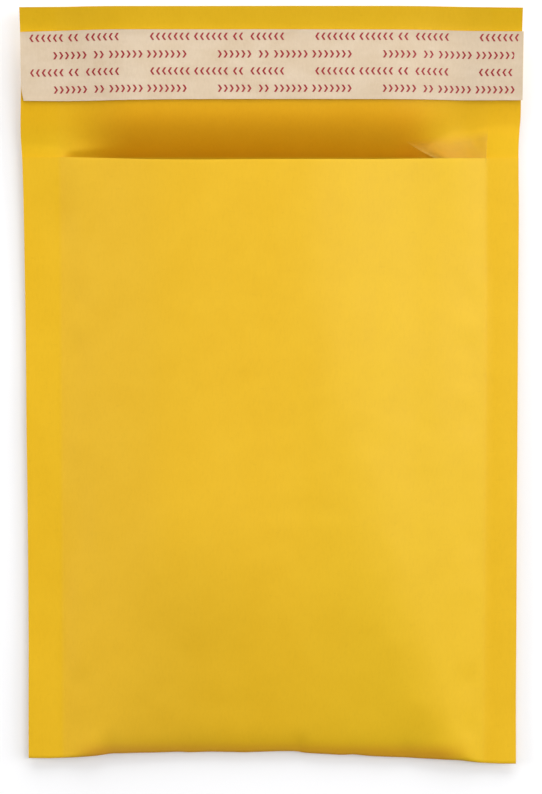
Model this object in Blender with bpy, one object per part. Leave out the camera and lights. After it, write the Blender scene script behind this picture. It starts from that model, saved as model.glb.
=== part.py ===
# Padded envelope: a folded kraft paper pack with a bubble film lining, lying on its back with the flap open.
# Metres, +Z up. X runs across the envelope, Y along it (the flap towards +Y, the bottom fold towards -Y).

import math

import bmesh
import bpy

# ---- driving dimensions, in millimetres ----
MM = 0.001

WIDTH = 174.0  # over the side seams
LEFT_SEAM = 13.0  # width of each pressed side seam
RIGHT_SEAM = 10.6
MOUTH_Y = 81.7  # front panel's top edge
TIP_Y = 133.3  # flap's far edge, at the middle
TIP_BOW = 0.5  # its corners fall back by this
FOLD_Y_LEFT = -131.4  # bottom fold, at the two corners
FOLD_Y_RIGHT = -133.5
FOLD_PULL = 3.6  # how far the padding draws the fold in between the seams

PAPER = 0.3  # kraft wall
GAP = 0.3  # between paper and lining
SEAM = 2 * PAPER  # thickness of a pressed side seam
PUFF = 10.8  # space between the paper walls at the fullest point
FOLD_SHARE = 0.7  # share of it left at the bottom fold
FOLD_RISE = 0.3  # share of the length over which the pillow fills out
ROUND_BODY = 6.0  # how square the pillow is across, in the body and at the mouth
ROUND_MOUTH = 3.4
SHOULDER = 0.66
SEAM_LIFT = 2.4  # the padded back holds the side seams off the table by this
FLAT_HALF = 50.0  # half the width on which it lies flat

LINING_SIDE = 3.0  # from the seam to the lining's side
POCKET_SIDE = 5.6  # from the seam to the pocket's side
POCKET_SHARE = 0.55  # pocket height as a share of the lining's outer height
LINING_RECESS = 1.5  # front layer ends this far below the paper's edge
BACK_RECESS = 0.5  # back layer ends this far below it

CREASE = 6.0  # at the side seams the flap starts to rise this far past the mouth
TIP_LIFT = 9.0  # and its far edge stands this high
BOW_RISE = 7.6  # between them the flap bows up steeply from the mouth by this
BOW_REACH = 9.0  # over about twice this length
BOW_SLOPE = 0.047  # and then rises gently
BOW_LEFT = (-73.0, 27.0)  # where the bow starts and how far it takes to reach its full height
BOW_RIGHT = (44.0, 22.0)  # where it starts to fade and over how far
STRIP_LOW = 20.1  # release strip, from the mouth line
STRIP_HIGH = 43.6
GLUE_LOW = 24.6
GLUE_HIGH = 39.6
STRIP_PROUD = 0.35  # the strip stands past the paper on the right
GLUE_INSET = 3.0
STRIP_GAP = 0.2
STRIP_THICK = 0.25
GLUE_THICK = 0.3

ARC_STEPS = 6

LEFT = -WIDTH / 2
RIGHT = WIDTH / 2
POCKET_LEFT = LEFT + LEFT_SEAM
POCKET_RIGHT = RIGHT - RIGHT_SEAM
POCKET_MID = (POCKET_LEFT + POCKET_RIGHT) / 2
POCKET_HALF = (POCKET_RIGHT - POCKET_LEFT) / 2

# Distances in from each seam at which the sections stand: close together on the shoulders.
SIDE_STEPS = (0.0, 1.2, LINING_SIDE, POCKET_SIDE, 9.0, 14.0, 21.0, 31.0, 44.0, 59.0)
STATIONS = (
    [LEFT]
    + [POCKET_LEFT + d for d in SIDE_STEPS]
    + [POCKET_MID]
    + [POCKET_RIGHT - d for d in reversed(SIDE_STEPS)]
    + [RIGHT]
)
SEAM_LINES = (1, len(STATIONS) - 2)
LINING_LINES = (3, len(STATIONS) - 4)
POCKET_LINES = (4, len(STATIONS) - 5)

# Shares of the length from the bottom roll to the lining's front end.
ALONG = (0.0, 0.02, 0.06, 0.12, 0.2, 0.3, 0.42, 0.58, 0.74, 0.88, 1.0)
# Distances past the mouth line at which the flap has a row of points.
FLAP_ROWS = (0.0, 1.5, 3.0, CREASE, 9.0, 12.0, 15.0, 18.0, STRIP_LOW, GLUE_LOW, 29.6, 34.6, GLUE_HIGH, STRIP_HIGH, 47.8)


# ---- the shape, as functions of the place on the envelope ----
def smooth(t):
    t = min(max(t, 0.0), 1.0)
    return t * t * (3 - 2 * t)


def across(x):
    """-1 at the left seam line, 1 at the right one."""
    return min(max((x - POCKET_MID) / POCKET_HALF, -1.0), 1.0)


def fold_y(x):
    """The outermost line of the bottom fold."""
    straight = FOLD_Y_LEFT + (FOLD_Y_RIGHT - FOLD_Y_LEFT) * (x - LEFT) / WIDTH
    return straight + FOLD_PULL * (1 - abs(across(x)) ** 3)


def thickness(x, share):
    """Height of the front panel's outer face: share is 0 at the bottom roll and 1 at the mouth."""
    square = ROUND_BODY + (ROUND_MOUTH - ROUND_BODY) * smooth((share - 0.55) / 0.45)
    crown = (1 - abs(across(x)) ** square) ** SHOULDER
    fill = FOLD_SHARE + (1 - FOLD_SHARE) * smooth(share / FOLD_RISE)
    return SEAM + PUFF * crown * fill


def roll(x):
    """Radius of the bottom roll, whose centre is this far in from the fold and this high."""
    return thickness(x, 0) / 2


def place(x, share):
    """y of a row of points on the body."""
    start = fold_y(x) + roll(x)
    return start + (MOUTH_Y - LINING_RECESS - start) * share


def flap_under(x, past):
    """Height of the flap's lower face, this far past the mouth line, before the sides lift."""
    t = max(0.0, past - CREASE) / (TIP_Y - MOUTH_Y - CREASE)
    near_seam = (TIP_LIFT - side_lift(x)) * (0.3 * (1 - max(0.0, 1 - t) ** 4) + 0.7 * t)
    bow = BOW_RISE * (1 - math.exp(-past / BOW_REACH)) + BOW_SLOPE * past
    share = smooth((x - BOW_LEFT[0]) / BOW_LEFT[1]) * (1 - smooth((x - BOW_RIGHT[0]) / BOW_RIGHT[1]))
    return near_seam + (bow - near_seam) * share


def flap_y(x, past):
    return MOUTH_Y + past


def side_lift(x):
    """How far the place is held off the table because the padding narrows towards the seams."""
    return SEAM_LIFT * smooth((abs(x - POCKET_MID) - FLAT_HALF) / (POCKET_HALF + 2 - FLAT_HALF))


def tip_y(x):
    return TIP_Y - TIP_BOW * (x / RIGHT) ** 2


def pocket_height(x, share):
    """Free height inside the lining."""
    side = POCKET_HALF - abs(x - POCKET_MID) - POCKET_SIDE
    return POCKET_SHARE * smooth(side / 16 + 0.25 * (side > 0)) * (thickness(x, share) - SEAM - 2 * GAP) if side > 0 else 0.0


# ---- mesh building ----
def wall(bm, lines, rows, point):
    """A sheet of points made from a grid: point(i, j) gives each one's place in millimetres, before the sides lift."""
    made = bmesh.ops.create_grid(bm, x_segments=lines - 1, y_segments=rows - 1, size=0.5)["verts"]
    if len(made) != lines * rows:
        raise ValueError("the grid doesn't have the rows that were asked for")
    for v in made:
        i = round((v.co.x + 0.5) * (lines - 1))
        j = round((v.co.y + 0.5) * (rows - 1))
        x, y, z = point(i, j)
        v.co = (x * MM, y * MM, (z + side_lift(x)) * MM)


def finish(bm, name, material, collection):
    bmesh.ops.triangulate(bm, faces=bm.faces[:], quad_method="FIXED")
    bmesh.ops.remove_doubles(bm, verts=bm.verts[:], dist=2e-6)
    bmesh.ops.dissolve_degenerate(bm, edges=bm.edges[:], dist=1e-6)
    bmesh.ops.recalc_face_normals(bm, faces=bm.faces[:])
    mesh = bpy.data.meshes.new(name)
    bm.to_mesh(mesh)
    bm.free()
    mesh.materials.append(material)
    obj = bpy.data.objects.new(name, mesh)
    collection.objects.link(obj)
    return obj


def pouch(bm, stations, pinch, body_rows, tail_rows, outer, inner, tail):
    """A pocket open at its front end, with a tail that runs on past the opening.

    outer(x, j, side) and inner(x, j, side) give points on the outer and inner walls, side -1 below and 1 above,
    with j from 0 at the very end of the bottom roll. tail(x, m, side) gives points past the front end.
    pinch holds the two stations at which the inner walls meet."""
    n = len(stations)
    low, high = pinch
    inside = high - low + 1

    # the outer walls
    for side in (-1, 1):
        wall(bm, n, body_rows, lambda i, j: outer(stations[i], j, side))
    # the inner walls, from one seam line to the other
    for side in (-1, 1):
        wall(bm, inside, body_rows, lambda i, j: inner(stations[low + i], j, side))
    # the tail's two faces and its far end
    for side in (-1, 1):
        wall(bm, n, tail_rows, lambda i, m: tail(stations[i], m, side))
    wall(bm, n, 2, lambda i, m: tail(stations[i], tail_rows - 1, 2 * m - 1))
    # the front wall's edge: from the outer face to the inner one between the seams, and down to the tail at the seams
    last = body_rows - 1
    wall(bm, inside, 2, lambda i, m: (outer, inner)[m](stations[low + i], last, 1))
    for start, count in ((0, low + 1), (high, n - high)):
        wall(bm, count, 2, lambda i, m: (outer(stations[start + i], last, 1), tail(stations[start + i], 0, 1))[m])
    # the two side edges, in a lower and an upper half that meet at mid height
    for x in (stations[0], stations[-1]):

        def halfway(j):
            a, b = outer(x, j, -1), outer(x, j, 1)
            return [(p + q) / 2 for p, q in zip(a, b)] if j < last else tail(x, 0, 1)

        for side in (-1, 1):
            wall(bm, body_rows, 2, lambda j, m: (outer(x, j, side), halfway(j))[m])
        wall(bm, tail_rows, 2, lambda m, s: tail(x, m, 2 * s - 1))


def roll_point(x, step, side, radius):
    """A point on the bottom roll, from its outermost line (step 0) round to the top or the underside."""
    angle = math.pi / 2 * step / ARC_STEPS
    centre = fold_y(x) + roll(x)
    return x, centre - radius * math.cos(angle), roll(x) + side * radius * math.sin(angle)


# ---- kraft envelope ----
KRAFT_ROWS = ARC_STEPS + len(ALONG) + 1  # the roll, the body and the mouth line


def kraft_outer(x, j, side):
    if j <= ARC_STEPS:
        return roll_point(x, j, side, roll(x))
    j -= ARC_STEPS
    share = ALONG[j] if j < len(ALONG) else 1.0
    y = place(x, share) if j < len(ALONG) else MOUTH_Y
    return x, y, thickness(x, share) if side > 0 else 0.0


def kraft_inner(x, j, side):
    if j <= ARC_STEPS:
        return roll_point(x, j, side, roll(x) - PAPER)
    x, y, z = kraft_outer(x, j, side)
    return x, y, z - side * PAPER


def kraft_tail(x, m, side):
    past = FLAP_ROWS[m] if m < len(FLAP_ROWS) else None
    y = tip_y(x) if past is None else flap_y(x, past)
    z = flap_under(x, y - MOUTH_Y)
    return x, y, z + (PAPER if side > 0 else 0.0)


# ---- bubble lining ----
LINING_X = STATIONS[LINING_LINES[0] : LINING_LINES[1] + 1]
LINING_PINCH = (POCKET_LINES[0] - LINING_LINES[0], POCKET_LINES[1] - LINING_LINES[0])
LINING_ROWS = ARC_STEPS + len(ALONG)
TAIL_PAST = (-LINING_RECESS, -BACK_RECESS)
SKIN = PAPER + GAP


def lining_outer(x, j, side):
    if j <= ARC_STEPS:
        return roll_point(x, j, side, roll(x) - SKIN)
    share = ALONG[j - ARC_STEPS]
    return x, place(x, share), thickness(x, share) - SKIN if side > 0 else SKIN


def lining_inner(x, j, side):
    if j <= ARC_STEPS:
        return roll_point(x, j, side, pocket_height(x, 0) / 2)
    share = ALONG[j - ARC_STEPS]
    return x, place(x, share), (thickness(x, share) + side * pocket_height(x, share)) / 2


def lining_tail(x, m, side):
    z = (thickness(x, 1) - pocket_height(x, 1)) / 2 if side > 0 else SKIN
    return x, MOUTH_Y + TAIL_PAST[m], z


# ---- the strips on the flap ----
def strip(bm, xs, rows, below, thick):
    """A thin strip that follows the flap, its lower face this far above the flap's upper one."""

    def point(i, m, side):
        return xs[i], flap_y(xs[i], rows[m]), flap_under(xs[i], rows[m]) + PAPER + below + (thick if side > 0 else 0.0)

    n, k = len(xs), len(rows)
    for side in (-1, 1):
        wall(bm, n, k, lambda i, m: point(i, m, side))
    for m in (0, k - 1):
        wall(bm, n, 2, lambda i, s: point(i, m, 2 * s - 1))
    for i in (0, n - 1):
        wall(bm, k, 2, lambda m, s: point(i, m, 2 * s - 1))


def material(name, colour, roughness, alpha=1.0):
    made = bpy.data.materials.new(name)
    made.use_nodes = True
    shader = made.node_tree.nodes["Principled BSDF"]
    shader.inputs["Base Color"].default_value = (*colour, 1.0)
    shader.inputs["Roughness"].default_value = roughness
    shader.inputs["Metallic"].default_value = 0.0
    shader.inputs["Alpha"].default_value = alpha
    made.diffuse_color = (*colour, alpha)
    return made


def main():
    for obj in list(bpy.data.objects):
        bpy.data.objects.remove(obj, do_unlink=True)
    parts = bpy.data.collections.new("padded_envelope")
    bpy.context.scene.collection.children.link(parts)

    bm = bmesh.new()
    pouch(bm, STATIONS, SEAM_LINES, KRAFT_ROWS, len(FLAP_ROWS) + 1, kraft_outer, kraft_inner, kraft_tail)
    finish(bm, "kraft_envelope", material("kraft_paper", (0.76, 0.42, 0.035), 0.55), parts)

    bm = bmesh.new()
    pouch(bm, LINING_X, LINING_PINCH, LINING_ROWS, len(TAIL_PAST), lining_outer, lining_inner, lining_tail)
    finish(bm, "bubble_liner", material("bubble_film", (0.82, 0.80, 0.74), 0.2), parts)

    bm = bmesh.new()
    glue_x = [LEFT + GLUE_INSET] + STATIONS[1:-1] + [RIGHT - GLUE_INSET]
    strip(bm, glue_x, (GLUE_LOW, 29.6, 34.6, GLUE_HIGH), STRIP_GAP, GLUE_THICK)
    finish(bm, "adhesive_strip", material("hot_melt_adhesive", (0.80, 0.66, 0.36), 0.25), parts)

    bm = bmesh.new()
    tape_x = [LEFT] + STATIONS[1:-1] + [RIGHT + STRIP_PROUD]
    tape_rows = (STRIP_LOW, GLUE_LOW, 29.6, 34.6, GLUE_HIGH, STRIP_HIGH)
    strip(bm, tape_x, tape_rows, 2 * STRIP_GAP + GLUE_THICK, STRIP_THICK)
    finish(bm, "release_strip", material("release_paper", (0.77, 0.60, 0.38), 0.5), parts)


main()
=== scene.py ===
# Looks of the padded envelope: golden kraft paper with a bubble film lining, lying on its back with the flap open.
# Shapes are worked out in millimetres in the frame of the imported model, and turned to metres when a mesh is made.
import math

import bmesh
import bpy
import numpy as np
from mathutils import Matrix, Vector


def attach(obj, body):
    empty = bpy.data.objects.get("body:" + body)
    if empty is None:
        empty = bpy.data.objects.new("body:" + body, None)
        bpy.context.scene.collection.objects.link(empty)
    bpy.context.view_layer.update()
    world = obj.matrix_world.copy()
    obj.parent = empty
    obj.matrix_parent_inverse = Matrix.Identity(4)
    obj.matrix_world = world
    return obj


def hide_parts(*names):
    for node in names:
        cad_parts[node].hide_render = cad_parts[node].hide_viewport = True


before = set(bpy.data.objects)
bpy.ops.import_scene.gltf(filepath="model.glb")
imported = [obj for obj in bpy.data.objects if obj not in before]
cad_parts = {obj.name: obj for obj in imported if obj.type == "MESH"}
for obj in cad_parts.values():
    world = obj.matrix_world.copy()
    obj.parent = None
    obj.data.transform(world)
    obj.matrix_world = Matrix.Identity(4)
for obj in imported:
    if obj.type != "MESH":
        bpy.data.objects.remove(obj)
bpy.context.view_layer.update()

MM = 0.001

# ---------------------------------------------------------------- the envelope's dimensions
LEFT, RIGHT = -87.0, 87.0
POCKET_LEFT, POCKET_RIGHT = -74.0, 76.4
POCKET_MID = (POCKET_LEFT + POCKET_RIGHT) / 2
POCKET_HALF = (POCKET_RIGHT - POCKET_LEFT) / 2
MOUTH_Y = 81.7
PAPER = 0.22
SEAM = 0.6
PUFF = 11.3
BODY_LENGTH = 206.0
SEAM_LIFT, FLAT_HALF = 2.4, 46.0
ROLL_STRETCH = 1.6
ROLL_END = math.radians(54)
POCKET_SIDE, POCKET_SHARE = 5.6, 0.55
CREASE = 6.0
BUBBLE_PITCH = 10.4


def smooth(t):
    t = np.clip(t, 0.0, 1.0)
    return t * t * (3 - 2 * t)


def mix(a, b, t):
    return a + (b - a) * t


def line_through(points, soften=1.0):
    """A smooth function through a few measured points of an edge, in millimetres."""
    points = sorted(points)
    xs = np.array([p[0] for p in points], float)
    ys = np.array([p[1] for p in points], float)
    fine = np.arange(xs[0] - 12, xs[-1] + 12, 0.25)
    vals = np.interp(fine, xs, ys)
    n = max(1, int(3 * soften / 0.25))
    k = np.exp(-0.5 * ((np.arange(-n, n + 1) * 0.25) / soften) ** 2)
    padded = np.pad(vals, n, mode="edge")
    vals = np.convolve(padded, k / k.sum(), mode="valid")
    return lambda x: np.interp(x, fine, vals)


# The outline, as (along the edge, across it).
fold_line = line_through(
    [(-86.5, -131.4), (-80.7, -131.5), (-74.0, -131.4), (-68, -131.0), (-60.9, -130.4), (-57, -129.85), (-43, -129.65), (-33, -129.35), (-29.2, -129.6), (-21.5, -129.3), (-9, -129.55), (3, -129.1), (8.9, -129.1), (11.4, -129.7), (25.6, -130.5), (29.3, -130.25), (34.9, -130.85), (52.4, -131.65), (67.6, -132.15), (75.1, -133.2), (81.8, -133.45), (87.5, -133.45)],
    0.7,
)
left_line = line_through([(-131, -86.5), (-89, -86.25), (-53, -86.3), (-14, -86.5), (18, -86.6), (46, -86.8), (70, -87.0), (79, -87.15), (84, -87.4), (88, -87.7), (93, -87.65), (102, -87.3), (107, -87.1), (134, -87.1)], 2.0)
right_line = line_through([(-133, 87.45), (-110, 87.3), (-53, 87.2), (53, 87.17), (67, 87.15), (79, 86.93), (86, 86.93), (91.6, 87.3), (96.4, 87.7), (102, 87.5), (112, 87.45), (134, 87.3)], 2.0)
tip_line = line_through([(-87, 133.1), (-63, 133.15), (-31.7, 133.2), (13.6, 133.2), (45, 133.2), (69.4, 133.2), (87.4, 133.1)], 4.0)
mouth_plan = line_through([(-87, 82.3), (-73.7, 82.2), (-59.6, 81.97), (-43.0, 81.55), (-24.0, 81.42), (-8.0, 81.58), (6.6, 81.62), (37.9, 81.58), (55.4, 81.8), (76.2, 81.89), (87, 81.9)], 3.0)


def noise(x, y, size_x, size_y, seed):
    """Soft noise from -1 to 1, the same on each run."""
    grid = np.random.default_rng(seed).uniform(-1, 1, (97, 97))
    fx, fy = x / size_x + 31.7, y / size_y + 17.3
    ix, iy = np.floor(fx).astype(int), np.floor(fy).astype(int)
    tx, ty = smooth(fx - ix), smooth(fy - iy)

    def at(i, j):
        return grid[i % 97, j % 97]

    return mix(mix(at(ix, iy), at(ix + 1, iy), tx), mix(at(ix, iy + 1), at(ix + 1, iy + 1), tx), ty)


def dome(x, y, radius=4.7):
    """1 on a bubble's flat top, 0 between the bubbles."""
    rows = BUBBLE_PITCH * math.sqrt(3) / 2
    best = np.full(np.broadcast(x, y).shape, 1e9)
    j0 = np.floor(y / rows)
    for dj in (0, 1):
        j = j0 + dj
        cx = (x / BUBBLE_PITCH - 0.5 * (j % 2)).round() * BUBBLE_PITCH + 0.5 * (j % 2) * BUBBLE_PITCH
        best = np.minimum(best, np.hypot(x - cx, y - j * rows))
    t = np.clip(best / radius, 0, 1)
    return np.sqrt(np.clip(1 - t**5, 0, 1))


def lower_of(a, b, soft):
    """The lower of two heights, rounded where they cross."""
    h = np.clip(soft - np.abs(a - b), 0, None) / soft
    return np.minimum(a, b) - h * h * soft / 4


def side_rise(x):
    """How high the padding may stand for its distance from the two seams."""
    left = np.clip(x - POCKET_LEFT, 0, None)
    right = np.clip(POCKET_RIGHT - x, 0, None)
    # gentler over the first few millimetres, where there is no film inside
    left = left - 1.6 * (1 - np.exp(-left / 4.5))
    right = right - 1.6 * (1 - np.exp(-right / 4.5))
    from_left = PUFF * (1 - np.clip(1 - left / 58, 0, 1) ** 2.05)
    from_right = PUFF * (1 - np.clip(1 - right / 58, 0, 1) ** 2.2)
    return lower_of(from_left, from_right, 1.0)


def pillow(x, share):
    """Distance between the outer faces of the two panels."""
    d = share * BODY_LENGTH
    # the bottom end slopes down to the fold, and the right half leans from a soft ridge
    end = 2.7 + 1.5 * (1 - np.exp(-d / 3.6)) + 7.6 * (1 - np.clip(1 - d / 165, 0, 1) ** 2.6)
    ridge = 9.0 + 54.0 * np.clip(0.80 - share, 0, 1) ** 1.25
    facet = PUFF - (0.124 + 0.024 * smooth((share - 0.62) / 0.3)) * np.logaddexp(0, (x - ridge) / 3.5) * 3.5
    sides = lower_of(side_rise(x), facet, 2.6)
    body = lower_of(sides, end, 2.0)
    # the paper draws in small puckers over the padding at the fold
    pucker = 0.35 * noise(x, x * 0, 7.5, 9, 11) + 0.25 * noise(x, x * 0, 3.6, 9, 12)
    dent = -1.0 * np.exp(-(((x - 10.5) / 1.6) ** 2)) - 0.8 * np.exp(-(((x - 48) / 3.0) ** 2)) - 0.7 * np.exp(-(((x + 58) / 3.5) ** 2))
    near_fold = (1 - smooth(share / 0.045)) * smooth(side_rise(x) / 4)
    return SEAM + np.maximum(body, 0) + near_fold * (pucker + dent) * 0.7


def roll(x):
    """Height of the fold's foremost line."""
    return pillow(x, 0.0) / (1 + math.sin(ROLL_END))


def mouth_line(x):
    """The front panel's free edge, seen a little lower where it stands higher."""
    return mouth_plan(x) - 0.069 * (pillow(x, 1.0) + side_lift(x))


def body_y(x, share, side):
    """Where a panel's point lies along the length: side is 1 for the front panel, -1 for the back, 0 between them."""
    early = 1 - math.cos(ROLL_END) * (1 + side) / 2
    start = fold_line(x) + ROLL_STRETCH * roll(x) * early
    return start + (mouth_line(x) - start) * share


def side_lift(x):
    return SEAM_LIFT * smooth((np.abs(x - POCKET_MID) - FLAT_HALF) / (POCKET_HALF + 7 - FLAT_HALF))


def seam_lift(x, y):
    """The sides stand off the table, the left one a little more where the flap pulls it up."""
    return side_lift(x) + 1.7 * smooth((y - 52) / 38) * smooth((-58 - x) / 15)


def wrinkle(x, y):
    """A fold in the back of the mouth near the right seam: a sharp step on its lower left, flat beyond it."""
    over = (x - 47.6) * 0.492 + (y - 87.65) * 0.871
    step = smooth((over + 0.2) / 1.0)
    ends = smooth((x - 45.5) / 3.0) * (1 - smooth((x - 56) / 14))
    return 1.9 * step * ends * smooth((y - 73) / 8)


# Near the seams: how far past the mouth the flap starts to rise, how high its tip stands, and how much of the rise is early.
flap_start = line_through([(-90, 6), (-62, 6), (50, 6), (74, 12.5), (90, 13)], 3.0)
flap_level = line_through([(-90, 9.6), (-50, 10.4), (0, 10.8), (50, 10.0), (90, 8.6)], 5.0)
flap_early = line_through([(-90, 0.25), (-66, 0.3), (-40, 0.3), (40, 0.3), (50, 0.4), (74, 0.05), (90, 0.05)], 4.0)
# Between them the back of the mouth bows up from inside the pocket: its slope, by the distance past the mouth.
bow_slope = line_through([(-9, 0), (-4, 0), (-0.5, 0.54), (3, 0.62), (6, 0.57), (10, 0.45), (14, 0.28), (18, 0.14), (24, 0.085), (34, 0.07), (53, 0.06)], 1.0)
BOW_AT = np.arange(-20, 60, 0.25)
BOW_RISE = np.cumsum(bow_slope(BOW_AT)) * 0.25
bow_right = line_through([(43, 1), (50, 0.8), (57, 0.4), (66, 0), (80, 0)], 2.0)


def bow_share(x):
    """How far the bow reaches along the mouth: it fades towards the left corner, and ends at the wrinkle on the right."""
    return smooth((x + 73) / 27) * bow_right(x)


def corner_dip(x, past):
    """Close to the left corner the back stays low right at the edge of the mouth."""
    return 0.9 * smooth((x + 74) / 5) * (1 - smooth((x + 62) / 16)) * smooth((past + 14) / 10) * (1 - smooth(past / (2.2 + 0.12 * np.clip(x + 74, 0, 20))))


def flap_under(x, y):
    """Lower face of the back panel and the flap, before seam_lift."""
    past = y - MOUTH_Y
    start = flap_start(x)
    t = np.clip(np.logaddexp(0, (past - start) / 1.8) * 1.8 / (52.2 - start), 0, 1)
    early = flap_early(x)
    near_seam = (flap_level(x) - seam_lift(x, MOUTH_Y + 52)) * (early * (1 - (1 - t) ** 4) + (1 - early) * t)
    rise = mix(near_seam, np.interp(past, BOW_AT, BOW_RISE), bow_share(x))
    rise = rise + 0.25 * noise(x, y, 38, 30, 21) * smooth((past - 14) / 14) + 0.19 * np.logaddexp(0, (past - 44.5) / 1.2) * 1.2
    level = -lower_of(-rise, -wrinkle(x, y), 0.3) * smooth((rise + wrinkle(x, y)) / 0.3)
    return np.maximum(level - corner_dip(x, past), -seam_lift(x, y))


def relief(x, y, share):
    """Small unevenness of the front panel, zero at the seams and on the roll."""
    inset = POCKET_HALF - np.abs(x - POCKET_MID)
    mask = smooth(inset / 7) * smooth(share / 0.05)
    broad = 0.22 * noise(x, y, 46, 62, 31) + 0.08 * noise(x, y, 22, 40, 32)
    fine = 0.035 * noise(x, y, 7, 26, 33) + 0.06 * noise(x, y, 5.2, 5.8, 37) * (0.7 + 0.5 * noise(x, y, 60, 60, 38))
    bubbles = 0.035 * dome(x, y, 5.2) * (0.6 + 0.4 * noise(x, y, 30, 30, 34))
    by_seam = 0.22 * noise(x * 0, y, 9, 8.5, 35) * np.exp(-((inset - 5) ** 2) / 22)
    # the film bulks up a little to the left of the middle, low down
    swell = 1.7 * np.exp(-(((x + 27) / 27) ** 2) - ((y + 58) / 34) ** 2) * smooth(inset / 14)
    edge = -0.05 * smooth((y - mouth_line(x) + 1.2) / 1.2)
    corner = 0.5 * noise(x, y, 16, 12, 36) * (1 - smooth(share / 0.22)) * smooth(share / 0.04) * smooth(inset / 10)
    return mask * (swell + broad + fine + bubbles + by_seam + 0.35 * corner) + edge * smooth(inset / 5)


def warp(x, y, z):
    """Moves a nominal point to where the outline's own small waves put it, and lifts the sides."""
    lifted = z + seam_lift(x, y)
    wl = np.clip((-72.5 - x) / 14.5, 0, 1)
    wr = np.clip((x - 74.5) / 12.5, 0, 1)
    x = x + wl * (left_line(y) - LEFT) + wr * (right_line(y) - RIGHT)
    # the pressed margins wave a little
    sway = 0.35 * noise(x * 0 + np.sign(x) * 3, y, 5, 34, 41) * (wl + wr) * (1 - smooth((y - MOUTH_Y) / 14))
    return x, y, lifted + sway


# ---------------------------------------------------------------- meshes
class Walls:
    """Sheets of quads that are welded where they meet."""

    def __init__(self):
        self.points, self.quads, self.count = [], [], 0

    def add(self, x, y, z, warped=True):
        x, y, z = np.broadcast_arrays(x, y, z)
        if warped:
            x, y, z = warp(x, y, z)
        n, m = x.shape
        index = self.count + np.arange(n * m).reshape(n, m)
        self.points.append(np.stack([x, y, z], -1).reshape(-1, 3))
        self.quads.append(np.stack([index[:-1, :-1], index[1:, :-1], index[1:, 1:], index[:-1, 1:]], -1).reshape(-1, 4))
        self.count += n * m

    def build(self, name, material, sharp=0.6):
        mesh = bpy.data.meshes.new(name)
        points = np.concatenate(self.points) * MM
        quads = np.concatenate(self.quads)
        mesh.from_pydata(points.tolist(), [], quads.tolist())
        bm = bmesh.new()
        bm.from_mesh(mesh)
        bmesh.ops.remove_doubles(bm, verts=bm.verts[:], dist=1.5e-6)
        bmesh.ops.dissolve_degenerate(bm, edges=bm.edges[:], dist=1e-6)
        bmesh.ops.recalc_face_normals(bm, faces=bm.faces[:])
        for f in bm.faces:
            f.smooth = True
        bm.to_mesh(mesh)
        bm.free()
        mesh.set_sharp_from_angle(angle=sharp)
        mesh.materials.append(material)
        obj = bpy.data.objects.new(name, mesh)
        bpy.context.scene.collection.objects.link(obj)
        return obj


def pouch(walls, stations, pinch, body_rows, tail_rows, outer, inner, tail):
    """The two panels of a pocket, joined round the bottom roll and closed at the sides, with a tail past the mouth."""
    low, high = pinch
    xs = stations[:, None]
    ins = stations[low : high + 1, None]
    rows = np.arange(body_rows)[None, :]
    tails = np.arange(tail_rows)[None, :]
    for side in (-1, 1):
        walls.add(*outer(xs, rows, side))
        walls.add(*inner(ins, rows, side))
        walls.add(*tail(xs, tails, side))
    last = body_rows - 1

    def strip(a, b):
        walls.add(*(np.concatenate([np.broadcast_to(p, (max(np.size(p), np.size(q)), 1)), np.broadcast_to(q, (max(np.size(p), np.size(q)), 1))], 1) for p, q in zip(a, b)))

    strip(tail(xs, np.array([[tail_rows - 1]]), -1), tail(xs, np.array([[tail_rows - 1]]), 1))
    end = np.array([[last]])
    strip(outer(ins, end, 1), inner(ins, end, 1))
    for part in (stations[: low + 1, None], stations[high:, None]):
        strip(outer(part, end, 1), tail(part, np.array([[0]]), 1))
    for x in (stations[0], stations[-1]):
        one = np.array([[x]])
        below = [np.broadcast_to(c, (1, body_rows)) for c in outer(one, rows, -1)]
        above = [np.broadcast_to(c, (1, body_rows)) for c in outer(one, rows, 1)]
        middle = [(a + b) / 2 for a, b in zip(below, above)]
        first = tail(one, np.array([[0]]), 1)
        for c, v in zip(middle, first):
            c[:, -1] = np.ravel(v)[0]
        walls.add(*(np.concatenate([a, b], 0) for a, b in zip(below, middle)))
        walls.add(*(np.concatenate([a, b], 0) for a, b in zip(middle, above)))
        under = [np.broadcast_to(c, (1, tail_rows)) for c in tail(one, tails, -1)]
        over = [np.broadcast_to(c, (1, tail_rows)) for c in tail(one, tails, 1)]
        walls.add(*(np.concatenate([a, b], 0) for a, b in zip(under, over)))


def spaced(start, stop, step):
    return np.linspace(start, stop, max(2, int(round(abs(stop - start) / step)) + 1))


def joined(*runs):
    out = [runs[0]]
    for r in runs[1:]:
        out.append(r[1:])
    return np.concatenate(out)


ARC = 9


def roll_point(x, step, side, inset):
    """Round the fold, from its foremost line to the top of the front panel's start, or down to the back panel."""
    angle = (ROLL_END if side > 0 else np.pi / 2) * step / ARC
    full = roll(x)
    centre = fold_line(x) + ROLL_STRETCH * full
    radius = np.maximum(full - inset, 0.0)
    return x, centre - ROLL_STRETCH * radius * np.cos(angle), full + side * radius * np.sin(angle)


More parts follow.
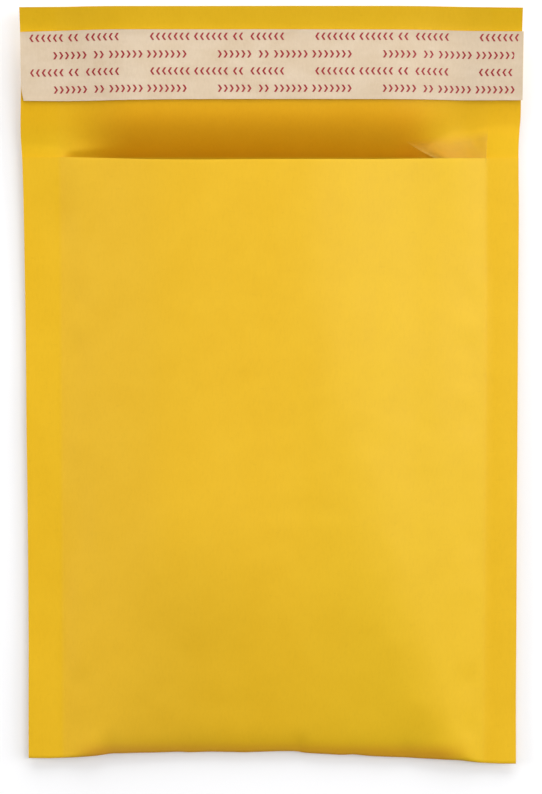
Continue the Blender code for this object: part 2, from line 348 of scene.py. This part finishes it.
# kraft sheet -----------------------------------------------------------------
KRAFT_X = joined(
    spaced(LEFT, POCKET_LEFT, 2.6),
    spaced(POCKET_LEFT, POCKET_LEFT + 8, 0.8),
    spaced(POCKET_LEFT + 8, POCKET_RIGHT - 8, 1.4),
    spaced(POCKET_RIGHT - 8, POCKET_RIGHT, 0.8),
    spaced(POCKET_RIGHT, RIGHT, 2.6),
)
KRAFT_PINCH = (int(np.argmin(abs(KRAFT_X - POCKET_LEFT))), int(np.argmin(abs(KRAFT_X - POCKET_RIGHT))))
KRAFT_SHARE = joined(spaced(0, 0.1, 0.005), spaced(0.1, 0.93, 0.0092), spaced(0.93, 0.99, 0.006), spaced(0.99, 1.0, 0.0017))
KRAFT_BODY = ARC + len(KRAFT_SHARE)
FLAP_PAST = joined(spaced(0, 24, 0.9), spaced(24, 52.2, 1.7))
FLAP_PAST = FLAP_PAST / FLAP_PAST[-1]


def kraft_outer(x, j, side, inset=0.0):
    share = KRAFT_SHARE[np.clip(j - ARC, 0, len(KRAFT_SHARE) - 1)]
    rx, ry, rz = roll_point(x, np.minimum(j, ARC), side, inset)
    y = body_y(x, share, side)
    top = pillow(x, share) + relief(x, y, share) - inset
    flat = np.full(np.broadcast(x, j).shape, float(inset)) + flap_under(x, y)
    z = top if side > 0 else flat
    return np.broadcast_to(x, z.shape) * 1.0, np.where(j <= ARC, ry, y), np.where(j <= ARC, rz, z)


def kraft_inner(x, j, side):
    """The inner faces, which meet along the seam lines."""
    _, low_y, low = kraft_outer(x, j, -1)
    _, high_y, high = kraft_outer(x, j, 1)
    ix, iy, iz = kraft_outer(x, j, side, PAPER)
    close = smooth((POCKET_HALF - np.abs(x - POCKET_MID)) / 1.6)
    middle = np.where(j <= ARC, fold_line(x) + ROLL_STRETCH * roll(x) * (1 - math.cos(ROLL_END) / 2 * j / ARC), (low_y + high_y) / 2)
    return ix, mix(middle, iy, close), mix((low + high) / 2, iz, close)


def kraft_tail(x, m, side):
    start = mouth_line(x)
    y = start + (tip_line(x) - start) * FLAP_PAST[m]
    z = flap_under(x, y)
    if side > 0:
        # at the mouth line the flap's upper face is the floor of the pocket, and the middle of the seam
        seam = np.full(z.shape, SEAM / 2)
        close = smooth((POCKET_HALF - np.abs(x - POCKET_MID)) / 1.6)
        floor = mix(seam, PAPER, np.broadcast_to(close, z.shape))
        top = z + mix(floor, PAPER, smooth((y - start) / 6.0))
        top = np.where(FLAP_PAST[m] == 0, kraft_inner(x, np.array([[KRAFT_BODY - 1]]), -1)[2], top)
        return np.broadcast_to(x, z.shape) * 1.0, y, top
    return np.broadcast_to(x, z.shape) * 1.0, y, z


# bubble film -----------------------------------------------------------------
FILM_X = spaced(POCKET_LEFT + 3.0, POCKET_RIGHT - 3.0, 1.04)
FILM_PINCH = (3, len(FILM_X) - 4)
FILM_SHARE = joined(spaced(0, 0.88, 0.0078), spaced(0.88, 0.986, 0.0040))
FILM_BODY = ARC + len(FILM_SHARE)
FILM_TAIL = spaced(0, 1, 1 / 3)
FILM = 0.16


def film_outer(x, j, side):
    share = FILM_SHARE[np.clip(j - ARC, 0, len(FILM_SHARE) - 1)]
    y = body_y(x, share, side)
    full = pillow(x, share)
    hollow = film_pocket(x, share)
    bub = dome(x + (0 if side > 0 else 3.1), y)
    if side > 0:
        z = mix((full + hollow) / 2 + FILM, full - 0.42 + np.minimum(relief(x, y, share), 0), bub)
    else:
        z = mix((full - hollow) / 2 - FILM, 0.42, bub) + flap_under(x, y)
    rx, ry, rz = roll_point(x, np.minimum(j, ARC), side, 0.45)
    turn = smooth(share / 0.03)
    z = mix(full - 0.45 if side > 0 else 0.45, z, turn)
    return np.broadcast_to(x, z.shape) * 1.0, np.where(j <= ARC, ry, y), np.where(j <= ARC, rz, z)


def film_pocket(x, share):
    side = np.minimum(x - FILM_X[FILM_PINCH[0]], FILM_X[FILM_PINCH[1]] - x)
    return np.where(side > 0, POCKET_SHARE * smooth(side / 14 + 0.15 * (side > 0)) * (pillow(x, share) - SEAM - 1.2), 0.0)


def film_inner(x, j, side):
    share = FILM_SHARE[np.clip(j - ARC, 0, len(FILM_SHARE) - 1)]
    hollow = film_pocket(x, share)
    y = mix(body_y(x, share, 0), body_y(x, share, side), smooth(hollow / 0.8))
    z = (pillow(x, share) + side * hollow) / 2
    if side < 0:
        z = z + flap_under(x, y) * smooth(hollow / 0.5)
    # a short round end above the fold, as high as the hollow is there
    half = film_pocket(x, 0.0) / 2
    angle = np.pi / 2 * np.minimum(j, ARC) / ARC
    turn = mix(body_y(x, 0.0, 0), body_y(x, 0.0, side), smooth(half * 2 / 0.8) * smooth(np.minimum(j, ARC) / ARC))
    ry = turn - half * np.cos(angle)
    rz = pillow(x, 0.0) / 2 + side * half * np.sin(angle)
    return np.broadcast_to(x, z.shape) * 1.0, np.where(j <= ARC, ry, y), np.where(j <= ARC, rz, z)


def film_tail(x, m, side):
    """The lower layer's cut edge, a little past the upper one's."""
    start = body_y(x, FILM_SHARE[-1], -1)
    end = start + 0.8 + 0.25 * noise(x, x * 0, 9, 5, 51)
    hollow = film_pocket(x, FILM_SHARE[-1])
    if side > 0:
        start = mix(body_y(x, FILM_SHARE[-1], 0), start, smooth(hollow / 0.8))
    y = start + (end - start) * FILM_TAIL[m]
    full = pillow(x, FILM_SHARE[-1])
    inner = (full - hollow) / 2
    down = FILM_TAIL[m]
    z_top = mix(inner, np.minimum(inner, 0.75), down * down) + flap_under(x, y) * mix(smooth(hollow / 0.5), 1.0, down)
    if side > 0:
        return np.broadcast_to(x, y.shape) * 1.0, y, z_top
    z = mix(z_top - FILM, 0.42 + flap_under(x, y), dome(x + 3.1, y) * (1 - down))
    first = FILM_TAIL[m] == 0
    same = film_outer(x, np.array([[FILM_BODY - 1]]), -1)[2]
    return np.broadcast_to(x, y.shape) * 1.0, y, np.where(first, same, z)


# ---------------------------------------------------------------- materials
class Nodes:
    def __init__(self, name):
        self.material = bpy.data.materials.new(name)
        self.material.use_nodes = True
        self.tree = self.material.node_tree
        self.shader = self.tree.nodes["Principled BSDF"]
        self.coords = self.tree.nodes.new("ShaderNodeTexCoord").outputs["Object"]

    def link(self, a, b):
        self.tree.links.new(a, b)

    def scaled(self, scale, turn=(0, 0, 0)):
        node = self.tree.nodes.new("ShaderNodeMapping")
        node.inputs["Scale"].default_value = scale
        node.inputs["Rotation"].default_value = turn
        self.link(self.coords, node.inputs["Vector"])
        return node.outputs["Vector"]

    def noise(self, vector, scale, detail=3.0, rough=0.55, distortion=0.0):
        node = self.tree.nodes.new("ShaderNodeTexNoise")
        node.inputs["Scale"].default_value = scale
        node.inputs["Detail"].default_value = detail
        node.inputs["Roughness"].default_value = rough
        node.inputs["Distortion"].default_value = distortion
        self.link(vector, node.inputs["Vector"])
        return node.outputs["Fac"]

    def ramp(self, fac, stops):
        node = self.tree.nodes.new("ShaderNodeValToRGB")
        ramp = node.color_ramp
        while len(ramp.elements) < len(stops):
            ramp.elements.new(0.5)
        for element, (at, colour) in zip(ramp.elements, stops):
            element.position = at
            element.color = (*colour, 1) if len(colour) == 3 else colour
        self.link(fac, node.inputs["Fac"])
        return node.outputs["Color"]

    def blend(self, fac, a, b, mode="MIX"):
        node = self.tree.nodes.new("ShaderNodeMix")
        node.data_type = "RGBA"
        node.blend_type = mode
        ins = [s for s in node.inputs if s.enabled]
        out = [s for s in node.outputs if s.enabled][0]
        for value, socket in zip((fac, a, b), ins):
            if hasattr(value, "is_output"):
                self.link(value, socket)
            else:
                socket.default_value = value if not isinstance(value, tuple) else (*value, 1)
        return out

    def scale_value(self, value, low, high):
        node = self.tree.nodes.new("ShaderNodeMapRange")
        node.inputs["To Min"].default_value = low
        node.inputs["To Max"].default_value = high
        self.link(value, node.inputs["Value"])
        return node.outputs["Result"]

    def along(self, direction, reach, values):
        """A value that runs between two levels along a direction of the object, given where it starts and ends in metres."""
        dot = self.tree.nodes.new("ShaderNodeVectorMath")
        dot.operation = "DOT_PRODUCT"
        dot.inputs[1].default_value = direction
        self.link(self.coords, dot.inputs[0])
        node = self.tree.nodes.new("ShaderNodeMapRange")
        node.interpolation_type = "SMOOTHSTEP"
        for name, value in zip(("From Min", "From Max", "To Min", "To Max"), (*reach, *values)):
            node.inputs[name].default_value = value
        self.link(dot.outputs["Value"], node.inputs["Value"])
        return node.outputs["Result"]

    def product(self, a, b):
        node = self.tree.nodes.new("ShaderNodeMath")
        node.operation = "MULTIPLY"
        self.link(a, node.inputs[0])
        self.link(b, node.inputs[1])
        return node.outputs["Value"]

    def bump(self, height, distance, strength=1.0, base=None):
        node = self.tree.nodes.new("ShaderNodeBump")
        node.inputs["Distance"].default_value = distance
        node.inputs["Strength"].default_value = strength
        self.link(height, node.inputs["Height"])
        if base is not None:
            self.link(base, node.inputs["Normal"])
        return node.outputs["Normal"]

    def set(self, **values):
        for name, value in values.items():
            socket = self.shader.inputs[name.replace("_", " ")]
            if hasattr(value, "is_output"):
                self.link(value, socket)
            else:
                socket.default_value = value
        return self.material


def kraft_material():
    n = Nodes("golden_kraft")
    fibres = n.noise(n.scaled((1, 0.28, 1), (0, 0, 0.12)), 1500, 4, 0.62)
    cross = n.noise(n.scaled((0.3, 1, 1), (0, 0, -0.2)), 1150, 3, 0.6)
    cloud = n.noise(n.scaled((1, 1, 1)), 85, 5, 0.6)
    broad = n.noise(n.scaled((1, 0.6, 1)), 16, 3, 0.5)
    base = n.ramp(cloud, [(0.25, (0.708, 0.410, 0.0082)), (0.5, (0.728, 0.427, 0.0095)), (0.78, (0.748, 0.446, 0.0112))])
    base = n.blend(0.25, base, n.ramp(broad, [(0.3, (0.706, 0.408, 0.0080)), (0.7, (0.748, 0.446, 0.0115))]))
    strands = n.ramp(fibres, [(0.30, (0.90, 0.87, 0.78)), (0.5, (1, 1, 1)), (0.74, (1.05, 1.06, 1.12))])
    base = n.blend(0.22, base, strands, "MULTIPLY")
    flecks = n.ramp(cross, [(0.26, (0.82, 0.76, 0.62)), (0.36, (1, 1, 1))])
    base = n.blend(0.18, base, flecks, "MULTIPLY")
    # painted shade: past the mouth the paper is painted deeper and more orange where the mouth lies in shade, most in
    # its middle
    painted_mouth_shade = n.product(n.along((0, 1, 0), (0.0814, 0.0824), (0, 1)), n.along((0, 1, 0), (0.082, 0.112), (1, 0)))
    middle = n.product(n.along((1, 0, 0), (-0.078, -0.046), (0, 1)), n.along((1, 0, 0), (0.045, 0.064), (1, 0)))
    # painted shade beside the corner fold near the right seam, just past the mouth
    near = n.product(n.along((0, 1, 0), (0.0822, 0.0905), (0.75, 0)), n.product(n.along((1, 0, 0), (0.040, 0.052), (0, 1)), n.along((1, 0, 0), (0.060, 0.082), (1, 0))))
    near = n.product(n.along((0, 1, 0), (0.0814, 0.0824), (0, 1)), near)
    # a weaker painted shade, more orange, over the flap's rise up to the strip
    painted_flap_shade = n.product(n.along((0, 1, 0), (0.085, 0.097), (0, 0.30)), n.along((0, 1, 0), (0.098, 0.116), (1, 0)))
    base = n.blend(n.product(painted_mouth_shade, middle), base, n.blend(1.0, base, (0.95, 0.70, 0.42), "MULTIPLY"))
    base = n.blend(near, base, n.blend(1.0, base, (0.94, 0.76, 0.6), "MULTIPLY"))
    base = n.blend(painted_flap_shade, base, n.blend(1.0, base, (1.10, 0.93, 0.6), "MULTIPLY"))
    # and painted shade, browner, round the bottom fold where the roll turns away from the light
    painted_fold_shade = n.product(n.along((0, 1, 0), (-0.1312, -0.1238), (0.92, 0)), n.product(n.along((1, 0, 0), (-0.072, -0.060), (0, 1)), n.along((1, 0, 0), (0.058, 0.074), (1, 0))))
    base = n.blend(painted_fold_shade, base, n.blend(1.0, base, (0.96, 0.74, 1.5), "MULTIPLY"))
    # painted sheen: the panel is painted a little paler to the left of the padding and yellower to the right, where the
    # lights' sheen falls
    panel = n.along((0, 1, 0), (0.0814, 0.0824), (1, 0))
    painted_sheen_left = n.product(panel, n.product(n.along((1, 0, 0), (-0.0750, -0.0735), (0, 1)), n.along((1, 0, 0), (-0.060, 0.0), (1, 0))))
    base = n.blend(painted_sheen_left, base, n.blend(1.0, base, (1.0, 1.0, 1.7), "MULTIPLY"))
    painted_sheen_right = n.product(panel, n.product(n.along((1, 0, 0), (-0.005, 0.045), (0, 1)), n.along((1, 0, 0), (0.074, 0.0775), (1, 0))))
    base = n.blend(painted_sheen_right, base, n.blend(1.0, base, (0.99, 1.035, 1.0), "MULTIPLY"))
    rough = n.scale_value(cloud, 0.40, 0.50)
    # the sheen of calendered paper seen square on, matt at a low angle
    facing = n.tree.nodes.new("ShaderNodeLayerWeight")
    facing.inputs["Blend"].default_value = 0.5
    sheen = n.tree.nodes.new("ShaderNodeMapRange")
    for name, value in (("From Min", 0.03), ("From Max", 0.60), ("To Min", 0.30), ("To Max", 0.02)):
        sheen.inputs[name].default_value = value
    n.link(facing.outputs["Facing"], sheen.inputs["Value"])
    matt = n.tree.nodes.new("ShaderNodeMapRange")
    for name, value in (("From Min", 0.15), ("From Max", 0.70), ("To Min", 0.0), ("To Max", 0.5)):
        matt.inputs[name].default_value = value
    n.link(facing.outputs["Facing"], matt.inputs["Value"])
    total = n.tree.nodes.new("ShaderNodeMath")
    total.operation = "ADD"
    total.use_clamp = True
    n.link(rough, total.inputs[0])
    n.link(matt.outputs["Result"], total.inputs[1])
    relief_a = n.bump(fibres, 0.00003, 0.40)
    relief_b = n.bump(cloud, 0.00025, 0.22, relief_a)
    # the flap shows the sheet's unpolished inner face, and the pressed margins are duller too
    dull = n.product(n.along((0, 1, 0), (0.0814, 0.0824), (1, 0.55)), n.product(n.along((1, 0, 0), (-0.0755, -0.0735), (0.75, 1)), n.along((1, 0, 0), (0.0755, 0.0775), (1, 0.75))))
    gloss = n.product(sheen.outputs["Result"], dull)
    n.set(Specular_IOR_Level=0.25)
    return n.set(Base_Color=base, Roughness=total.outputs["Value"], Normal=relief_b, Specular_IOR_Level=gloss)


def film_material():
    n = Nodes("bubble_film_clear")
    haze = n.noise(n.scaled((1, 1, 1)), 120, 4, 0.6)
    streak = n.noise(n.scaled((1, 0.12, 1)), 420, 3, 0.5)
    colour = n.ramp(haze, [(0.3, (0.80, 0.80, 0.76)), (0.7, (0.90, 0.90, 0.86))])
    rough = n.scale_value(streak, 0.10, 0.28)
    normal = n.bump(streak, 0.00004, 0.5)
    facing = n.tree.nodes.new("ShaderNodeLayerWeight")
    facing.inputs["Blend"].default_value = 0.28
    alpha = n.scale_value(facing.outputs["Facing"], 0.004, 0.30)
    return n.set(Base_Color=colour, Roughness=rough, Normal=normal, Alpha=alpha, Specular_IOR_Level=0.5, IOR=1.5)


def fold_material():
    n = Nodes("lining_fold_film")
    haze = n.noise(n.scaled((1, 1, 1)), 260, 4, 0.6)
    colour = n.ramp(haze, [(0.3, (0.72, 0.44, 0.045)), (0.7, (0.79, 0.50, 0.085))])
    rough = n.scale_value(haze, 0.22, 0.4)
    # the film thins out towards its far edge, and is cloudy along the fold
    inward = n.along((0.15, -1.0, 0.0), (-0.0808, -0.0765), (0.0, 1.0))
    alpha = n.product(n.scale_value(haze, 0.10, 0.20), inward)
    normal = n.bump(haze, 0.00004, 0.4)
    return n.set(Base_Color=colour, Roughness=rough, Normal=normal, Alpha=alpha, Specular_IOR_Level=0.22)


def glue_material():
    n = Nodes("hot_melt_band")
    blot = n.noise(n.scaled((1, 2.2, 1)), 210, 4, 0.6)
    colour = n.ramp(blot, [(0.3, (0.70, 0.56, 0.27)), (0.7, (0.83, 0.72, 0.43))])
    rough = n.scale_value(blot, 0.14, 0.32)
    normal = n.bump(blot, 0.0002, 0.6)
    return n.set(Base_Color=colour, Roughness=rough, Normal=normal, Specular_IOR_Level=0.5)


def release_material():
    n = Nodes("release_paper_cream")
    cloud = n.noise(n.scaled((1, 1.6, 1)), 95, 5, 0.6)
    grain = n.noise(n.scaled((1, 0.35, 1)), 1600, 3, 0.6)
    colour = n.ramp(cloud, [(0.28, (0.640, 0.500, 0.345)), (0.5, (0.672, 0.537, 0.384)), (0.75, (0.708, 0.578, 0.432))])
    colour = n.blend(0.5, colour, n.ramp(grain, [(0.3, (0.93, 0.92, 0.90)), (0.6, (1, 1, 1))]), "MULTIPLY")
    rough = n.scale_value(cloud, 0.60, 0.74)
    normal = n.bump(grain, 0.00002, 0.5)
    return n.set(Base_Color=colour, Roughness=rough, Normal=normal, Specular_IOR_Level=0.12)


def ink_material():
    n = Nodes("dark_red_print")
    speck = n.noise(n.scaled((1, 1, 1)), 2600, 3, 0.6)
    colour = n.ramp(speck, [(0.3, (0.30, 0.012, 0.022)), (0.62, (0.36, 0.020, 0.032)), (0.8, (0.50, 0.12, 0.10))])
    rough = n.scale_value(speck, 0.42, 0.6)
    return n.set(Base_Color=colour, Roughness=rough, Specular_IOR_Level=0.4)


def floor_material():
    n = Nodes("white_table")
    cloud = n.noise(n.scaled((1, 1, 1)), 3, 2, 0.5)
    colour = n.ramp(cloud, [(0.3, (0.80, 0.80, 0.81)), (0.7, (0.82, 0.82, 0.83))])
    # away from the object the table glows a little, so that it stays white out of the lights' reach
    reach = n.tree.nodes.new("ShaderNodeVectorMath")
    reach.operation = "LENGTH"
    n.link(n.coords, reach.inputs[0])
    glow = n.tree.nodes.new("ShaderNodeMapRange")
    for name, value in (("From Min", 0.2), ("From Max", 1.6), ("To Min", 0.125), ("To Max", 0.97)):
        glow.inputs[name].default_value = value
    n.link(reach.outputs["Value"], glow.inputs["Value"])
    return n.set(Base_Color=colour, Roughness=0.9, Specular_IOR_Level=0.1, Emission_Color=(1, 1, 1, 1), Emission_Strength=glow.outputs["Result"])


# ---------------------------------------------------------------- pieces
kraft_walls = Walls()
pouch(kraft_walls, KRAFT_X, KRAFT_PINCH, KRAFT_BODY, len(FLAP_PAST), kraft_outer, kraft_inner, kraft_tail)
kraft = kraft_walls.build("kraft_paper_sheet", kraft_material(), 0.75)
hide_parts("kraft_envelope")
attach(kraft, "root")

film_walls = Walls()
pouch(film_walls, FILM_X, FILM_PINCH, FILM_BODY, len(FILM_TAIL), film_outer, film_inner, film_tail)
film = film_walls.build("bubble_film_lining", film_material(), 0.9)
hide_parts("bubble_liner")
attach(film, "root")


def band(name, material, low, high, left, right, lift, thick, step=1.1, wave=0.0):
    """A strip on the flap between two edge lines, at this height over the paper."""
    walls = Walls()
    u = np.linspace(0, 1, int(174 / step))[:, None]
    v = np.linspace(0, 1, 22)[None, :]
    x = -87 + 174 * u + 0 * v
    y = mix(low(x), high(x), v)
    l, r = left(y), right(y)
    x = mix(l, r, u)
    y = mix(low(x), high(x), v)
    base = flap_under(x, y) + PAPER + seam_lift(x, y)
    edge = np.minimum(np.minimum(v, 1 - v) * 22.0, np.minimum(u, 1 - u) * 160)
    ripple = wave * (noise(x, y, 13, 30, 61) + 1) * np.exp(-edge / 1.6)
    z0 = base + lift + ripple
    z1 = z0 + thick
    walls.add(x, y, z0, False)
    walls.add(x, y, z1, False)
    for a in (0, -1):
        walls.add(np.stack([x[a], x[a]]), np.stack([y[a], y[a]]), np.stack([z0[a], z1[a]]), False)
        walls.add(np.stack([x[:, a], x[:, a]]), np.stack([y[:, a], y[:, a]]), np.stack([z0[:, a], z1[:, a]]), False)
    return walls.build(name, material, 0.7)


tape_low = line_through([(-87, 101.3), (-73.8, 101.15), (-52.8, 101.35), (-31.8, 101.6), (0, 101.65), (45, 101.6), (60, 101.7), (88, 101.75)], 3.0)
tape_high = line_through([(-87, 124.7), (-73.5, 125.1), (-56, 125.35), (0, 125.35), (45, 125.25), (88, 125.15)], 3.0)
tape_left = line_through([(101, -86.2), (103, -86.55), (104.5, -86.9), (107, -87.05), (126, -87.0)], 0.5)
tape_right = line_through([(101, 88.0), (126, 87.8)], 2.0)
glue_low = line_through([(-90, 106.4), (-40, 106.1), (10, 106.6), (60, 106.2), (90, 106.5)], 6.0)
glue_high = line_through([(-90, 121.2), (-30, 121.6), (30, 121.1), (90, 121.5)], 6.0)

glue = band("adhesive_band", glue_material(), glue_low, glue_high, lambda y: -84.2 + 0.5 * noise(y * 0, y, 5, 2.2, 71), lambda y: 84.3 + 0.5 * noise(y * 0 + 9, y, 5, 2.2, 72), 0.12, 0.2)
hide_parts("adhesive_strip")
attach(glue, "root")

TAPE_LIFT, TAPE_THICK = 0.40, 0.09
tape = band("release_paper_strip", release_material(), tape_low, tape_high, tape_left, tape_right, TAPE_LIFT, TAPE_THICK, wave=0.12)
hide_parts("release_strip")
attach(tape, "root")


def lining_fold():
    """A corner of the lining that has slipped out past the mouth and folded over, clear film on its kraft backing."""
    a, b, c, d, e = ((45.5, 87.95), (59.5, 80.4), (75.6, 80.0), (76.2, 92.2), (61.5, 89.8))
    walls = Walls()
    u = np.linspace(0, 1, 64)[:, None]
    v = np.linspace(0, 1, 26)[None, :]
    # lower edge a-b-c and upper edge a-e-d, both starting at the tip a
    low_x, low_y = np.interp(u, (0, 0.5, 1), (a[0], b[0], c[0])), np.interp(u, (0, 0.5, 1), (a[1], b[1], c[1]))
    high_x, high_y = np.interp(u, (0, 0.5, 1), (a[0], e[0], d[0])), np.interp(u, (0, 0.5, 1), (a[1], e[1], d[1]))
    x, y = mix(low_x, high_x, v), mix(low_y, high_y, v)
    over = np.clip((x - a[0]) * 0.492 + (y - a[1]) * 0.871, 0, None)
    curl = 1.05 * np.exp(-over / 0.9) * smooth((76 - x) / 8)
    level = np.maximum(flap_under(x, y), 2.0 * (1 - smooth((x - 58) / 16))) + PAPER + 0.3
    z = level + seam_lift(x, y) + curl + 0.12 * noise(x, y, 4, 3, 81)
    thick = 0.11
    walls.add(x, y, z, False)
    walls.add(x, y, z + thick, False)
    for k in (0, -1):
        walls.add(np.stack([x[:, k], x[:, k]]), np.stack([y[:, k], y[:, k]]), np.stack([z[:, k], z[:, k] + thick]), False)
        walls.add(np.stack([x[k], x[k]]), np.stack([y[k], y[k]]), np.stack([z[k], z[k] + thick]), False)
    return walls.build("lining_corner_fold", fold_material(), 0.7)


fold = lining_fold()
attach(fold, "root")


def print_marks():
    """Dark red chevrons in four rows, alternate rows pointing the other way."""
    bm = bmesh.new()
    pitch, group = 2.045, 57.2
    runs = ((0.0, 6), (14.2, 2), (19.5, 6), (32.7, 7))
    rows = ((123.0, -1), (117.0, 1), (111.2, -1), (105.3, 1))
    shape = ((-0.78, -1.24), (-0.1, -1.24), (0.72, 0.0), (-0.1, 1.24), (-0.78, 1.24), (0.04, 0.0))

    def height(x, y):
        x, y = np.float64(x), np.float64(y)
        ripple = 0.12 * (noise(x, y, 13, 30, 61) + 1) * np.exp(-min((y - tape_low(x)) / 23.7, (tape_high(x) - y) / 23.7) * 22 / 1.6)
        return float(flap_under(x, y) + PAPER + seam_lift(x, y) + TAPE_LIFT + TAPE_THICK + ripple)

    for y0, way in rows:
        first = -75.6 if way > 0 else -52.7
        for g in range(-1, 4):
            for offset, count in runs:
                for k in range(count):
                    along = offset + 0.7 + k * pitch
                    x0 = first + g * group + along if way > 0 else first + g * group - along
                    sag = -0.42 * math.exp(-(((x0 + 84) / 22) ** 2))
                    outline = []
                    for px, py in shape:
                        x, y = x0 + way * px, y0 + sag + py
                        outline.append((x, y))
                    xs = [p[0] for p in outline]
                    if min(xs) < -86.7 or max(xs) > 87.6:
                        continue
                    low = [bm.verts.new((x * MM, y * MM, (height(x, y) + 0.004) * MM)) for x, y in outline]
                    high = [bm.verts.new((x * MM, y * MM, (height(x, y) + 0.03) * MM)) for x, y in outline]
                    n = len(low)
                    # two arms, so that each face is flat enough
                    for ring in (low, high):
                        bm.faces.new((ring[0], ring[1], ring[2], ring[5]))
                        bm.faces.new((ring[5], ring[2], ring[3], ring[4]))
                    for i in range(n):
                        a, b = i, (i + 1) % n
                        bm.faces.new((low[a], low[b], high[b], high[a]))
    bmesh.ops.recalc_face_normals(bm, faces=bm.faces[:])
    mesh = bpy.data.meshes.new("strip_print")
    bm.to_mesh(mesh)
    bm.free()
    mesh.materials.append(ink_material())
    obj = bpy.data.objects.new("strip_print", mesh)
    bpy.context.scene.collection.objects.link(obj)
    return obj


marks = print_marks()
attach(marks, "root")

# ---------------------------------------------------------------- floor, light, camera
bm = bmesh.new()
bmesh.ops.create_grid(bm, x_segments=24, y_segments=24, size=9)
for v in bm.verts:
    v.co.z = -0.00015
floor_mesh = bpy.data.meshes.new("table_top")
bm.to_mesh(floor_mesh)
bm.free()
floor_mesh.materials.append(floor_material())
floor = bpy.data.objects.new("table_top", floor_mesh)
bpy.context.scene.collection.objects.link(floor)


def area_light(name, place, target, size, watts, colour=(1, 1, 1)):
    data = bpy.data.lights.new(name, "AREA")
    data.shape = "RECTANGLE"
    data.size, data.size_y = size
    data.energy = watts
    data.color = colour
    obj = bpy.data.objects.new(name, data)
    obj.location = place
    obj.rotation_euler = (Vector(target) - Vector(place)).to_track_quat("-Z", "Y").to_euler()
    bpy.context.scene.collection.objects.link(obj)
    return obj


area_light("softbox_top", (0.1, 1.5, 0.62), (0, 0, 0), (1.7, 1.1), 26.5)
area_light("softbox_right", (1.5, 0.15, 0.62), (0, 0, 0), (0.9, 0.8), 13)
area_light("softbox_high", (0.75, 0.2, 1.35), (0, 0, 0), (0.5, 0.9), 6.4)
area_light("softbox_left", (-1.5, 0.15, 0.55), (0, 0, 0), (0.9, 0.8), 11.8)

world = bpy.data.worlds.new("studio")
world.use_nodes = True
world.node_tree.nodes["Background"].inputs["Color"].default_value = (1, 1, 1, 1)
# the tent is brighter behind the flap than in front of the fold
tree = world.node_tree
direction = tree.nodes.new("ShaderNodeTexCoord").outputs["Generated"]
split = tree.nodes.new("ShaderNodeSeparateXYZ")
level = tree.nodes.new("ShaderNodeMapRange")
level.inputs["From Min"].default_value = -0.7
level.inputs["From Max"].default_value = 0.7
level.inputs["To Min"].default_value = 0.14
level.inputs["To Max"].default_value = 0.54
tree.links.new(direction, split.inputs["Vector"])
tree.links.new(split.outputs["Y"], level.inputs["Value"])
tree.links.new(level.outputs["Result"], tree.nodes["Background"].inputs["Strength"])
bpy.context.scene.world = world

camera_data = bpy.data.cameras.new("camera")
camera_data.sensor_fit = "VERTICAL"
camera_data.sensor_height = 36.0
camera_data.lens = 1971.8 / 794 * 36.0
camera_data.clip_start, camera_data.clip_end = 0.01, 20
camera = bpy.data.objects.new("camera", camera_data)
tilt, distance = math.radians(3.0), 0.7
camera.location = (0.0, -0.0025 + distance * math.sin(tilt), distance * math.cos(tilt))
camera.rotation_euler = (-tilt, 0, 0)
bpy.context.scene.collection.objects.link(camera)
bpy.context.scene.camera = camera

view = bpy.context.scene.view_settings
view.view_transform = "Standard"
view.look = "None"
view.exposure = 0.0
view.gamma = 1.0
